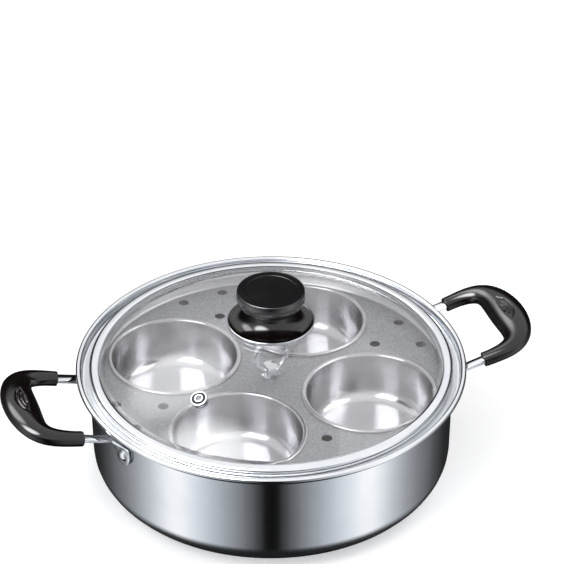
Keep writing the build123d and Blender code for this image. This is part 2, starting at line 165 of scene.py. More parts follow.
def steel(name, look, centre=(0, 0), markSize=0.5, markDepth=0.002):
    # Stainless steel, turned and polished: rings too fine to see draw light out up and down
    material, tree, output, place = newMaterial(name)
    values = steelLook[look]
    rings = turnedMarks(tree, place, centre, markSize)
    cloud = noise(tree, place, cloudSize["steel"], detail=2)
    shader = addNode(tree, "ShaderNodeBsdfPrincipled", {
        "Base Color": tint(tree, remap(tree, cloud, 0, 1), values["colour"], values["dull"]),
        "Metallic": 1.0,
        "Roughness": remap(tree, rings, values["rough"], values["roughMore"]),
        "Anisotropic": values["aniso"],
        "Anisotropic Rotation": drawnTurn,
        "Normal": bump(tree, rings, markDepth),
    })
    if values["aniso"]:
        # The rings run round the piece's own axis
        spoke = addNode(tree, "ShaderNodeVectorMath", {0: place, 1: (centre[0], centre[1], 0)},
                        operation="SUBTRACT")
        around = addNode(tree, "ShaderNodeVectorMath", {0: (0, 0, 1), 1: spoke.outputs[0]},
                         operation="CROSS_PRODUCT")
        turned = addNode(tree, "ShaderNodeVectorTransform", {"Vector": around.outputs[0]},
                         vector_type="VECTOR", convert_from="OBJECT", convert_to="WORLD")
        tangent = addNode(tree, "ShaderNodeVectorMath", {0: turned.outputs[0]},
                          operation="NORMALIZE")
        tree.links.new(tangent.outputs[0], shader.inputs["Tangent"])
    tree.links.new(shader.outputs[0], output.inputs["Surface"])
    return material


blastLook = {
    "light": "#DFDFE2", "dark": "#A4A4A8", "grain": 0.7, "depth": 0.03, "rough": 0.5,
    "roughMore": 0.62, "metal": 0.75,
}


def blastedSteel():
    # Glass-bead blasted steel, pale and even with a fine speckle
    material, tree, output, place = newMaterial("blastedSteel")
    grain = noise(tree, place, blastLook["grain"], detail=4)
    cloud = noise(tree, place, cloudSize["blast"], detail=2)
    speckle = tint(tree, remap(tree, grain, 0, 1), blastLook["dark"], blastLook["light"])
    shader = addNode(tree, "ShaderNodeBsdfPrincipled", {
        "Base Color": speckle,
        "Metallic": blastLook["metal"],
        "Roughness": remap(tree, cloud, blastLook["rough"], blastLook["roughMore"]),
        "Normal": bump(tree, grain, blastLook["depth"]),
    })
    tree.links.new(shader.outputs[0], output.inputs["Surface"])
    return material


plasticLook = {
    "glossPhenolic": {"colour": "#070505", "worn": "#140E0C", "rough": 0.1, "roughMore": 0.15,
                      "grain": 1.5, "depth": 0.003, "gloss": 1.58, "shine": 0.5},
    "satinPhenolic": {"colour": "#0C0C0D", "worn": "#151515", "rough": 0.22, "roughMore": 0.28,
                      "grain": 1.2, "depth": 0.004, "gloss": 1.9, "shine": 0.5},
    "mattPhenolic": {"colour": "#121213", "worn": "#1B1B1C", "rough": 0.45, "roughMore": 0.55,
                     "grain": 0.5, "depth": 0.02, "gloss": 1.5, "shine": 0.02},
}


def plastic(name):
    # Moulded phenolic: near black, with a skin that is never quite flat. Gloss is its IOR.
    material, tree, output, place = newMaterial(name)
    values = plasticLook[name]
    skin = noise(tree, place, values["grain"])
    cloud = noise(tree, place, cloudSize["plastic"])
    shader = addNode(tree, "ShaderNodeBsdfPrincipled", {
        "Base Color": tint(tree, remap(tree, cloud, 0, 1), values["colour"], values["worn"]),
        "Roughness": remap(tree, cloud, values["rough"], values["roughMore"]),
        "IOR": values["gloss"],
        "Specular IOR Level": values["shine"],
        "Normal": bump(tree, skin, values["depth"]),
    })
    tree.links.new(shader.outputs[0], output.inputs["Surface"])
    return material


rubberLook = {
    "colour": "#D9D8D4", "dusty": "#C9C8C4", "grain": 0.8, "depth": 0.01, "rough": 0.5,
    "roughMore": 0.65, "gloss": 1.41,
}


def rubber():
    # Food silicone: pale, soft and dusty
    material, tree, output, place = newMaterial("paleSilicone")
    look = rubberLook
    dust = noise(tree, place, look["grain"])
    shader = addNode(tree, "ShaderNodeBsdfPrincipled", {
        "Base Color": tint(tree, remap(tree, dust, 0, 1), look["colour"], look["dusty"]),
        "Roughness": remap(tree, dust, look["rough"], look["roughMore"]),
        "IOR": look["gloss"],
        "Normal": bump(tree, dust, look["depth"]),
    })
    tree.links.new(shader.outputs[0], output.inputs["Surface"])
    return material


turnedLook = {"mark": 0.4, "depth": 0.004, "roughSpread": 1.5}


def turnedMetal(name, first, second, rough):
    # Plain turned brass or aluminium inside the stacks
    material, tree, output, place = newMaterial(name)
    look = turnedLook
    rings = turnedMarks(tree, place, (0, 0), look["mark"])
    shader = addNode(tree, "ShaderNodeBsdfPrincipled", {
        "Base Color": tint(tree, remap(tree, rings, 0, 1), first, second),
        "Metallic": 1.0,
        "Roughness": remap(tree, rings, rough, rough * look["roughSpread"]),
        "Normal": bump(tree, rings, look["depth"]),
    })
    tree.links.new(shader.outputs[0], output.inputs["Surface"])
    return material


glassLook = {
    "colour": "#F1F1F2", "dull": "#EDEDEE", "shadow": "#F8FAFA", "ripple": 40, "depth": 0.01,
    "bend": 1.5, "shine": 0.22,
}


def clearGlass():
    # Tempered soda-lime glass, very faintly grey; lamps shine through it. Bend is its IOR.
    material, tree, output, place = newMaterial("temperedGlass")
    look = glassLook
    ripple = noise(tree, place, look["ripple"], detail=1)
    shader = addNode(tree, "ShaderNodeBsdfPrincipled", {
        "Base Color": tint(tree, remap(tree, ripple, 0, 1), look["colour"], look["dull"]),
        "Roughness": 0.0,
        "IOR": look["bend"],
        "Specular IOR Level": look["shine"],
        "Transmission Weight": 1.0,
        "Normal": bump(tree, ripple, look["depth"]),
    })
    clear = addNode(tree, "ShaderNodeBsdfTransparent", {"Color": hexColour(look["shadow"])})
    path = addNode(tree, "ShaderNodeLightPath")
    through = eitherRay(tree, path, "Is Shadow Ray", "Is Diffuse Ray")
    mixed = mixShaders(tree, through, shader.outputs[0], clear.outputs[0])
    tree.links.new(mixed, output.inputs["Surface"])
    return material


materials = {
    "polishedSteel": steel("polishedSteel", "polished"),
    "brightSteel": steel("brightSteel", "bright", markSize=0.3, markDepth=0.001),
    "blastedSteel": blastedSteel(),
    "flangeSteel": steel("flangeSteel", "flange", markSize=0.4),
    "brushedSteel": steel("brushedSteel", "brushed", markSize=0.4, markDepth=0.003),
    # This dark steel is painted shade on the vent eyelet
    "shadePaintedSteel": steel("shadePaintedSteel", "dark", markSize=0.3),
    "gripPlastic": plastic("glossPhenolic"),
    "knobPlastic": plastic("satinPhenolic"),
    "discPlastic": plastic("mattPhenolic"),
    "silicone": rubber(),
    "brass": turnedMetal("turnedBrass", "#C6A15A", "#B08C48", 0.25),
    "aluminium": turnedMetal("turnedAluminium", "#D0D1D4", "#BFC0C4", 0.3),
    "glass": clearGlass(),
}
print("materials made:", len(materials))


# Small tools for shapes. All shapes are drawn in millimetres and scaled when finished.

bendSteps = 8
spinSteps = 256
# Points closer than this are one point: in millimetres when spun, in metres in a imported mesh
spunMerge = 0.0005
packedMerge = 0.000002
# Packed faces within this many degrees of each other are one flat face
flatTurn = 0.5


def addObject(name, data):
    thing = bpy.data.objects.new(name, data)
    scene.collection.objects.link(thing)
    return thing


def drawPath(bm, points, bends, closed=False):
    # A line in the XZ plane through (radius, height) points, with round bends
    spots = [bm.verts.new((radius, 0, height)) for radius, height in points]
    for first, second in zip(spots, spots[1:]):
        bm.edges.new((first, second))
    if closed:
        bm.edges.new((spots[-1], spots[0]))
    count = len(spots)
    corners = range(count) if closed else range(1, count - 1)
    reaches = []
    for corner, bend in zip(corners, bends):
        here = Vector(spots[corner].co)
        before = (Vector(spots[corner - 1].co) - here).normalized()
        after = (Vector(spots[(corner + 1) % count].co) - here).normalized()
        turn = math.pi - before.angle(after)
        reaches.append((spots[corner], bend * math.tan(turn / 2)))
    for spot, reach in reaches:
        if reach > 0:
            bmesh.ops.bevel(bm, geom=[spot], offset=reach, offset_type="OFFSET", affect="VERTICES",
                            segments=bendSteps, profile=0.5, material=-1)


def spinAll(bm, steps=spinSteps):
    bmesh.ops.spin(bm, geom=bm.verts[:] + bm.edges[:], cent=(0, 0, 0), axis=(0, 0, 1),
                   dvec=(0, 0, 0), angle=fullTurn, steps=steps, use_merge=True, use_duplicate=False)
    bmesh.ops.remove_doubles(bm, verts=bm.verts[:], dist=spunMerge)
    bmesh.ops.recalc_face_normals(bm, faces=bm.faces[:])


def bakeModifiers(piece):
    bpy.context.view_layer.update()
    seen = piece.evaluated_get(bpy.context.evaluated_depsgraph_get())
    mesh = bpy.data.meshes.new_from_object(seen)
    piece.modifiers.clear()
    old = piece.data
    piece.data = mesh
    bpy.data.meshes.remove(old)
    mesh.name = piece.name


def makeObject(bm, name, place=None):
    whole = Matrix.Diagonal((mm, mm, mm, 1)) @ (place or Matrix.Identity(4))
    bmesh.ops.transform(bm, matrix=whole, verts=bm.verts[:])
    mesh = bpy.data.meshes.new(name)
    bm.to_mesh(mesh)
    bm.free()
    return addObject(name, mesh)


def thicken(piece, sheet, side):
    wall = piece.modifiers.new("wall", "SOLIDIFY")
    wall.thickness = sheet * mm
    wall.offset = side
    wall.use_even_offset = True


edgeSegments = 2
# Edges that turn by more than this many degrees are rounded
edgeTurn = 50


def finishPiece(piece, body, material, replaced, sheet=0, side=-1, edge=0, sharp=35):
    # Gives a sheet its thickness, softens its edges and hands the piece to its body
    if sheet:
        thicken(piece, sheet, side)
    if edge:
        soft = piece.modifiers.new("edge", "BEVEL")
        soft.width = edge * mm
        soft.segments = edgeSegments
        soft.limit_method = "ANGLE"
        soft.angle_limit = math.radians(edgeTurn)
    if sheet or edge:
        bakeModifiers(piece)
    for face in piece.data.polygons:
        face.use_smooth = True
    piece.data.set_sharp_from_angle(angle=math.radians(sharp))
    piece.data.materials.clear()
    piece.data.materials.append(materials[material])
    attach(piece, body)
    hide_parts(*replaced)
    return piece


def secondFinish(piece, material, test):
    # Gives the faces whose middle passes the test another finish
    piece.data.materials.append(materials[material])
    for face in piece.data.polygons:
        if test(face.center / mm, face.normal):
            face.material_index = 1


def outside(radius):
    # A test for faces further from the pan's axis than radius
    return lambda middle, normal: math.hypot(middle.x, middle.y) > radius


def spunPiece(name, points, bends, body, material, replaced, sheet=0, side=-1, edge=0,
              closed=False, place=None, steps=spinSteps, sharp=35):
    bm = bmesh.new()
    drawPath(bm, points, bends, closed)
    spinAll(bm, steps)
    piece = makeObject(bm, name, place)
    return finishPiece(piece, body, material, replaced, sheet, side, edge, sharp)


def copyNode(node, body, material, sharp=30, edge=0):
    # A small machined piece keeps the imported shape, merged so that it can be shaded smooth
    bm = bmesh.new()
    bm.from_mesh(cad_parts[node].data)
    bmesh.ops.remove_doubles(bm, verts=bm.verts[:], dist=packedMerge)
    if edge:
        bmesh.ops.dissolve_limit(bm, angle_limit=math.radians(flatTurn),
                                 use_dissolve_boundaries=False,
                                 verts=bm.verts[:], edges=bm.edges[:])
    name = node + "Shown"
    mesh = bpy.data.meshes.new(name)
    bm.to_mesh(mesh)
    bm.free()
    piece = addObject(name, mesh)
    return finishPiece(piece, body, material, [node], edge=edge, sharp=sharp)


# Pan: pressed wall and floor, step for the tray, turned lip

# Bends are listed from the axis outward, as the points are
panSize = {
    "height": 82, "sheet": 0.8, "floor": 3.6, "footRadius": 118.8, "wallRadius": 119.5,
    "stepZ": 75.8, "stepRadius": 124.2, "lipBendRadius": 125.3, "lipRadius": 128, "lipDrop": 2,
    "bends": [18, 1, 0.8, 0.6, 0.5], "edge": 0.35, "brightFrom": 75.3, "steps": 320,
}


def buildPan():
    size = panSize
    underLip = size["height"] - size["sheet"]
    edge = size["lipRadius"] - size["sheet"]
    points = [
        (0, size["floor"]), (size["footRadius"], size["floor"]), (size["wallRadius"], size["stepZ"]),
        (size["stepRadius"], size["stepZ"]), (size["lipBendRadius"], underLip), (edge, underLip),
        (edge, size["height"] - size["lipDrop"]),
    ]
    shell = spunPiece("panShell", points, size["bends"], "pan", "polishedSteel",
                      ["pan_body"], size["sheet"], 1, size["edge"], steps=size["steps"])
    # The step and the lip are buffed brighter than the wall
    secondFinish(shell, "brightSteel", lambda middle, normal: middle.z > size["brightFrom"])


baseSize = {"cap": 100.8, "sheet": 0.6, "bend": 2.2, "height": 3.6, "edge": 0.12}


def buildBase():
    size = baseSize
    points = [(0, 0), (size["cap"], 0), (size["cap"], size["height"])]
    spunPiece("baseCap", points, [size["bend"]], "pan", "polishedSteel",
              ["base_cap"], size["sheet"], -1, size["edge"])
    copyNode("base_core", "pan", "aluminium")


buildPan()
buildBase()
print("pan built")


# Tray: sunk plate with four cup holes and twelve steam holes, and a flange on the pan's step

traySize = {
    "sheet": 0.8, "turn": 8.6, "flangeRadius": 122.3, "flangeZ": 76.9, "bendRadius": 117.6,
    "plateRadius": 113.3, "plateZ": 68.9, "plateBend": 2.5, "flangeBend": 1.2, "cupHole": 42.4,
    "cupCircle": 67.3, "steamHole": 3.5, "steamInner": 77.6, "steamOuter": 105.3,
    "steamSpread": 8.05, "studHole": 2.6, "punchDepth": 8, "punchEdge": 0.25, "cupRound": 192,
    "steamRound": 48, "studRound": 32, "sharp": 18,
}
quarter = 90
cupAngles = [traySize["turn"] + quarter / 2 + quarter * place for place in range(4)]


def aroundTray(radius, angle, height=0):
    turn = math.radians(angle)
    return Matrix.Translation((radius * math.cos(turn), radius * math.sin(turn), height))


def buildTray():
    size = traySize
    bm = bmesh.new()
    drawPath(bm, [(0, size["plateZ"]), (size["plateRadius"], size["plateZ"]),
                  (size["bendRadius"], size["flangeZ"]), (size["flangeRadius"], size["flangeZ"])],
             [size["plateBend"], size["flangeBend"]])
    spinAll(bm)
    tray = makeObject(bm, "trayPlate")
    thicken(tray, size["sheet"], 1)
    bakeModifiers(tray)
    cutBm = bmesh.new()
    holes = [(size["cupHole"], size["cupCircle"], angle, size["cupRound"]) for angle in cupAngles]
    for angle in cupAngles:
        zone = angle - quarter / 2
        for circle, spread in ((size["steamInner"], 0), (size["steamOuter"], -size["steamSpread"]),
                               (size["steamOuter"], size["steamSpread"])):
            holes.append((size["steamHole"], circle, zone + spread, size["steamRound"]))
    holes.append((size["studHole"], 0, 0, size["studRound"]))
    for radius, circle, angle, segments in holes:
        bmesh.ops.create_cone(cutBm, cap_ends=True, segments=segments, radius1=radius,
                              radius2=radius, depth=size["punchDepth"],
                              matrix=aroundTray(circle, angle, size["plateZ"]))
    cutter = makeObject(cutBm, "trayCutter")
    cut = tray.modifiers.new("holes", "BOOLEAN")
    cut.operation = "DIFFERENCE"
    cut.solver = "EXACT"
    cut.object = cutter
    bakeModifiers(tray)
    bpy.data.objects.remove(cutter)
    finishPiece(tray, "tray", "blastedSteel", ["tray_plate"],
                edge=size["punchEdge"], sharp=size["sharp"])
    # Only the plate is blasted: its sloped wall and flange stay bright
    secondFinish(tray, "flangeSteel", outside(size["plateRadius"] - size["plateBend"] / 2))


cupSize = {
    "sheet": 0.6, "rimRadius": 44.3, "rimTop": 71.4, "rimDrop": 1.4, "wallRadius": 41.6,
    "depth": 32, "bottomRadius": 37.3, "bends": [9, 1.3, 0.75], "edge": 0.15, "steps": 192,
    "markSize": 0.4, "markDepth": 0.0015,
}
cupBodies = ("cup_one", "cup_two", "cup_three", "cup_four")


def buildCup(place, angle):
    size = cupSize
    rimUnder = size["rimTop"] - size["sheet"]
    bottom = size["rimTop"] - size["depth"]
    edge = size["rimRadius"] - size["sheet"]
    points = [
        (0, bottom), (size["bottomRadius"], bottom), (size["wallRadius"], rimUnder), (edge, rimUnder),
        (edge, size["rimTop"] - size["rimDrop"]),
    ]
    turn = math.radians(angle)
    circle = traySize["cupCircle"]
    # Each cup has a steel of its own, with rings round the cup's axis
    centre = (circle * math.cos(turn) * mm, circle * math.sin(turn) * mm)
    key = f"satinSteelCup{place}"
    materials[key] = steel(key, "satin", centre, size["markSize"], size["markDepth"])
    cup = spunPiece(f"cup{place}", points, size["bends"], cupBodies[place - 1], key,
                    [f"cup_{place}"], size["sheet"], 1, size["edge"],
                    place=aroundTray(circle, angle), steps=size["steps"])
    # The pressed floor is brushed, not spun
    secondFinish(cup, "brushedSteel", lambda middle, normal: middle.z < bottom + size["sheet"] / 4)


ringSize = {"wire": 3.6, "diameter": 27, "axisZ": 73.2, "wireRound": 32, "steps": 96}


def buildRing():
    size = ringSize
    radius = (size["diameter"] - size["wire"]) / 2
    bm = bmesh.new()
    circle = Matrix.Translation((radius, 0, 0)) @ Matrix.Rotation(math.pi / 2, 4, "X")
    bmesh.ops.create_circle(bm, cap_ends=False, segments=size["wireRound"],
                            radius=size["wire"] / 2, matrix=circle)
    spinAll(bm, size["steps"])
    place = (Matrix.Translation((0, 0, size["axisZ"] + radius))
             @ Matrix.Rotation(math.radians(traySize["turn"]), 4, "Z")
             @ Matrix.Rotation(math.pi / 2, 4, "X"))
    ring = makeObject(bm, "liftRing", place)
    finishPiece(ring, "ring", "brightSteel", ["lift_ring"])


buildTray()
for index, cupAngle in enumerate(cupAngles):
    buildCup(index + 1, cupAngle)
buildRing()
copyNode("ring_stud", "tray", "brightSteel")
copyNode("stud_washer", "tray", "brightSteel")
print("tray built")


# Lid: domed glass in a rolled band, vent eyelet, and a knob clamped by a screw from below

lidSize = {
    "bandRadius": 119.4, "bandSheet": 0.5, "bandFoot": 78, "bandTop": 83.4, "bandTopInner": 112.8,
    "bandFootInner": 114.4, "bandNip": 0.2, "bandRoll": 1.4, "bandBends": [2, 2.6, 1.6],
    "bandEdge": 0.12, "glassEdge": 118.4, "glassZ": 82.7, "glass": 4, "rise": 31.6, "dome": 111,
    "blend": 6, "edgeBend": 0.8, "hole": 4.5, "domeSteps": 24, "steps": 320, "sharp": 60,
}
crownZ = lidSize["glassZ"] + lidSize["rise"]
domeSphere = (lidSize["dome"] ** 2 + lidSize["rise"] ** 2) / (2 * lidSize["rise"])


def domePoints(sphere, centreZ, fromRadius, toRadius, count):
    # Points on a dome of this sphere, from one radius to another
    found = []
    for step in range(count + 1):
        radius = fromRadius + (toRadius - fromRadius) * step / count
        found.append((radius, centreZ + math.sqrt(sphere ** 2 - radius ** 2)))
    return found


def buildLid():
    size = lidSize
    sphere = domeSphere
    centreZ = crownZ - sphere
    inner = sphere - size["glass"]
    lowZ = size["glassZ"] - size["glass"]
    innerDome = math.sqrt(inner ** 2 - (lowZ - centreZ) ** 2)
    top = domePoints(sphere, centreZ, size["hole"], size["dome"], size["domeSteps"])
    low = domePoints(inner, centreZ, size["hole"], innerDome, size["domeSteps"])
    outline = top + [(size["glassEdge"], size["glassZ"]), (size["glassEdge"], lowZ)] + low[::-1]
    # The dome's foot, the two edges and the inner dome's foot are rounded
    bends = [0.0] * len(outline)
    foot = len(top) - 1
    bends[foot:foot + 4] = [size["blend"], size["edgeBend"], size["edgeBend"], size["blend"]]
    spunPiece("lidGlass", outline, bends, "lid", "glass", ["lid_glass"], closed=True,
              steps=size["steps"], sharp=size["sharp"])
    bandPoints = [
        (size["bandTopInner"], size["bandTop"] - size["bandNip"]),
        (size["bandTopInner"] + size["bandRoll"], size["bandTop"]), (size["bandRadius"], size["bandTop"]),
        (size["bandRadius"], size["bandFoot"]), (size["bandFootInner"], size["bandFoot"]),
    ]
    spunPiece("lidBand", bandPoints, size["bandBends"], "lid", "brightSteel",
              ["lid_band"], size["bandSheet"], -1, size["bandEdge"], steps=size["steps"])


ventSize = {
    "circle": 80, "angle": 217.4, "bore": 2, "collar": 2.9, "collarTop": 1.6, "dish": 4.6,
    "dishZ": 0.8, "flange": 5.5, "flangeTop": 1.3, "tube": 3.9, "low": -4.82, "roll": 5,
    "rollHeight": 0.8, "bends": [0.3, 0.3, 0.1, 0.1, 0.1, 0.45], "steps": 96, "near": 0.1,
}


def buildVent():
    size = ventSize
    lean = math.asin(size["circle"] / domeSphere)
    height = crownZ - domeSphere + math.sqrt(domeSphere ** 2 - size["circle"] ** 2)
    place = (Matrix.Rotation(math.radians(size["angle"]), 4, "Z")
             @ Matrix.Translation((size["circle"], 0, height)) @ Matrix.Rotation(lean, 4, "Y"))
    foot = size["low"] - size["rollHeight"]
    points = [
        (size["bore"], size["collarTop"]), (size["collar"], size["collarTop"]),
        (size["collar"], size["dishZ"]), (size["dish"], size["dishZ"]),
        (size["dish"], size["flangeTop"]), (size["flange"], size["flangeTop"]),
        (size["flange"], 0), (size["tube"], 0), (size["tube"], size["low"]),
        (size["roll"], size["low"]), (size["roll"], foot), (size["bore"], foot),
    ]
    vent = spunPiece("ventEyelet", points, size["bends"], "lid", "brightSteel",
                     ["vent_eyelet"], closed=True, place=place, steps=size["steps"])
    # Painted shade: the dish round the bore and the side of the flange get a dark steel that stands in
    # for the shade on them
    inverse = place.inverted()

    def isPaintedShade(middle, normal):
        spot = inverse @ middle
        radius = math.hypot(spot.x, spot.y)
        inDish = (size["collar"] < radius < size["dish"]
                  and abs(spot.z - size["dishZ"]) < size["near"])
        return inDish or (radius > size["flange"] - size["near"] and 0 < spot.z < size["dishZ"])

    secondFinish(vent, "shadePaintedSteel", isPaintedShade)


knobSize = {
    "top": 137.4, "radius": 21.7, "belly": 20.2, "bellyDrop": 10.4, "root": 13.6, "rootDrop": 14.4,
    "neck": 11.6, "recess": 0.9, "recessBend": 0.3, "topBend": 0.8, "rootBend": 0.7,
    "sideSteps": 14, "steps": 192, "flatFrom": 0.9, "near": 0.1,
}


def arcPoints(first, middle, last, count):
    # Points on the circle through three places, first to last
    (ax, az), (bx, bz), (cx, cz) = first, middle, last
    spread = 2 * (ax * (bz - cz) + bx * (cz - az) + cx * (az - bz))
    a2, b2, c2 = ax * ax + az * az, bx * bx + bz * bz, cx * cx + cz * cz
    x = (a2 * (bz - cz) + b2 * (cz - az) + c2 * (az - bz)) / spread
    z = (a2 * (cx - bx) + b2 * (ax - cx) + c2 * (bx - ax)) / spread
    radius = math.hypot(ax - x, az - z)
    angles = [math.atan2(pz - z, px - x) for px, pz in (first, middle, last)]
    for index in (1, 2):
        while angles[index] - angles[index - 1] > math.pi:
            angles[index] -= fullTurn
        while angles[index] - angles[index - 1] < -math.pi:
            angles[index] += fullTurn
    steps = [angles[0] + (angles[2] - angles[0]) * step / count for step in range(count + 1)]
    return [(x + radius * math.cos(angle), z + radius * math.sin(angle)) for angle in steps]


def buildKnob():
    size = knobSize
    top, rootZ = size["top"], size["top"] - size["rootDrop"]
    side = arcPoints((size["radius"], top), (size["belly"], top - size["bellyDrop"]),
                     (size["root"], rootZ), size["sideSteps"])
    recessZ = top - size["recess"]
    wall = discSize["radius"] + discSize["play"]
    points = ([(0, recessZ), (wall, recessZ), (wall, top)] + side
              + [(size["neck"], rootZ), (size["neck"], skirtSize["top"]), (0, skirtSize["top"])])
    bends = [0.0] * (len(points) - 2)
    bends[1] = size["recessBend"]
    bends[2] = size["topBend"]
    bends[len(side) + 1] = size["rootBend"]
    grip = spunPiece("knobGrip", points, bends, "lid", "knobPlastic",
                     ["knob_body"], steps=size["steps"])

    def isTop(middle, normal):
        return normal.z > size["flatFrom"] and middle.z > recessZ - size["near"]

    secondFinish(grip, "discPlastic", isTop)
    buildDisc(recessZ)


discSize = {
    "radius": 16.5, "thick": 0.7, "play": 0.2, "dimple": 1.3, "dimpleFloor": 0.9,
    "dimpleDepth": 0.35, "bends": [0, 0.3, 0.2, 0.2],
}


def buildDisc(low):
    # A flat disc with a small dimple, set in the knob's recess
    size = discSize
    top = low + size["thick"]
    dimpleZ = top - size["dimpleDepth"]
    points = [(0, low), (size["radius"], low), (size["radius"], top), (size["dimple"], top),
              (size["dimpleFloor"], dimpleZ), (0, dimpleZ)]
    spunPiece("knobDisc", points, size["bends"], "lid", "discPlastic",
              ["knob_top_disc"], steps=knobSize["steps"])


skirtSize = {
    "radius": 28.4, "top": 120.9, "neck": 12.6, "edge": 2, "drop": 1.5, "waist": 15.2,
    "waistRise": 3, "bore": 2.7, "roof": 9, "roofRise": 1, "inner": 27, "edgeBend": 0.4,
    # The thinnest entry is the width of the bright band painted round the skirt's foot as a highlight
    "neckBend": 0.3, "paintedHighlight": 0.3, "flareSteps": 20,
}


def buildSkirt():
    # A flared, hollow skirt that stands on the glass
    size = skirtSize
    low = crownZ - size["drop"]
    roofZ = crownZ + size["roofRise"]
    flare = arcPoints((size["radius"], low + size["edge"]),
                      (size["waist"], crownZ + size["waistRise"]), (size["neck"], size["top"]),
                      size["flareSteps"])
    points = flare + [(size["bore"], size["top"]), (size["bore"], roofZ), (size["roof"], roofZ),
                      (size["inner"], low), (size["radius"], low)]
    bends = [0.0] * len(points)
    bends[0] = size["edgeBend"]
    bends[len(flare) - 1] = size["neckBend"]
    bends[-1] = size["edgeBend"]
    skirt = spunPiece("knobSkirt", points, bends, "lid", "gripPlastic",
                      ["knob_skirt"], closed=True, steps=knobSize["steps"])
    # Painted highlight: a thin band of bright steel round the foot of the skirt stands in for the light
    # its edge catches
    secondFinish(skirt, "brightSteel", outside(size["radius"] - size["paintedHighlight"]))


collarSize = {"radius": 13.4, "height": 1.7, "play": 0.05, "bends": [0, 0.5, 0.5, 0], "steps": 128}


def buildCollar():
    # A steel ring round the knob's neck, on top of the skirt
    size = collarSize
    inner = knobSize["neck"] + size["play"]
    low, high = skirtSize["top"], skirtSize["top"] + size["height"]
    points = [(inner, low), (size["radius"], low), (size["radius"], high), (inner, high)]
    spunPiece("knobCollar", points, size["bends"], "lid", "brightSteel",
              ["knob_collar"], closed=True, steps=size["steps"])


buildLid()
buildVent()
buildKnob()
buildSkirt()
buildCollar()
for node, slot, material in (
        ("vent_washer", "bright_steel", "brightSteel"),
        ("knob_gasket", "silicone", "silicone"), ("knob_insert", "brass", "brass"),
        ("lid_gasket", "silicone", "silicone"), ("lid_washer", "bright_steel", "brightSteel"),
        ("lid_screw", "bright_steel", "brightSteel")):
    copyNode(node, "lid", material)
print("lid built")


# Handles: a moulded grip, tilted up and out, round a flat steel strap with tabs on the wall

gripSize = {
    "reach": 136.5, "endZ": 74.8, "tilt": 15, "halfSpan": 34.3, "shoulder": 36, "depth": 32.3,
    "pullOut": 25, "pullIn": 31, "endWidth": 10.5, "midWidth": 24, "endThick": 9.5,
    "midThick": 12.5, "stations": 220, "round": 128, "endEdge": 0.6, "sharp": 50,
}
leafSize = {
    "halfLength": 15.5, "halfWidth": 4.9, "middle": 1.0, "bow": 1.8, "soft": 1.6, "depth": 0.3,
    "grooveDepth": 0.9, "grooveWidth": 0.5, "grooveEnd": 2, "reach": 17, "riseFrom": 0.2,
    "riseTo": 0.5,
}
# Half length, place across the grip and bow of each groove, in millimetres
grooves = [(11.5, 3.4, 2.2), (8.0, 0.9, 1.4), (5.0, -1.4, 0.8)]


def gripPlane():
    lean = math.radians(gripSize["tilt"])
    return Matrix((
        (math.cos(lean), 0, -math.sin(lean), gripSize["reach"]),
        (0, 1, 0, 0),
        (math.sin(lean), 0, math.cos(lean), gripSize["endZ"]),
        (0, 0, 0, 1),
    ))


def gripLine(count):
    size = gripSize
    half = count // 2 + 1
    end = Vector((0, size["halfSpan"], 0))
    middle = Vector((size["depth"], 0, 0))
    first = interpolate_bezier(end, Vector((size["pullOut"], size["shoulder"], 0)),
                               Vector((size["depth"], size["pullIn"], 0)), middle, half)
    second = [Vector((spot.x, -spot.y, 0)) for spot in reversed(first[:-1])]
    return list(first) + second


def smoothStep(value, low, high):
    share = min(max((value - low) / (high - low), 0), 1)
    return share * share * (3 - 2 * share)


def grooveDepth(along, across):
    # A shallow leaf with three bowed grooves, pressed into the top of the grip
    size = leafSize
    share = (along / size["halfLength"]) ** 2
    leafHalf = size["halfWidth"] * max(1 - share, 0)
    leafMiddle = size["middle"] - size["bow"] * share
    inLeaf = smoothStep(leafHalf - abs(across - leafMiddle), 0, size["soft"]) * size["depth"]
    deepest = 0
    for halfLength, place, bow in grooves:
        middle = place - bow * (along / halfLength) ** 2
        ends = 1 - smoothStep(abs(along), halfLength - size["grooveEnd"], halfLength)
        slot = math.exp(-((across - middle) / size["grooveWidth"]) ** 2)
        deepest = max(deepest, slot * ends)
    return inLeaf + deepest * size["grooveDepth"]


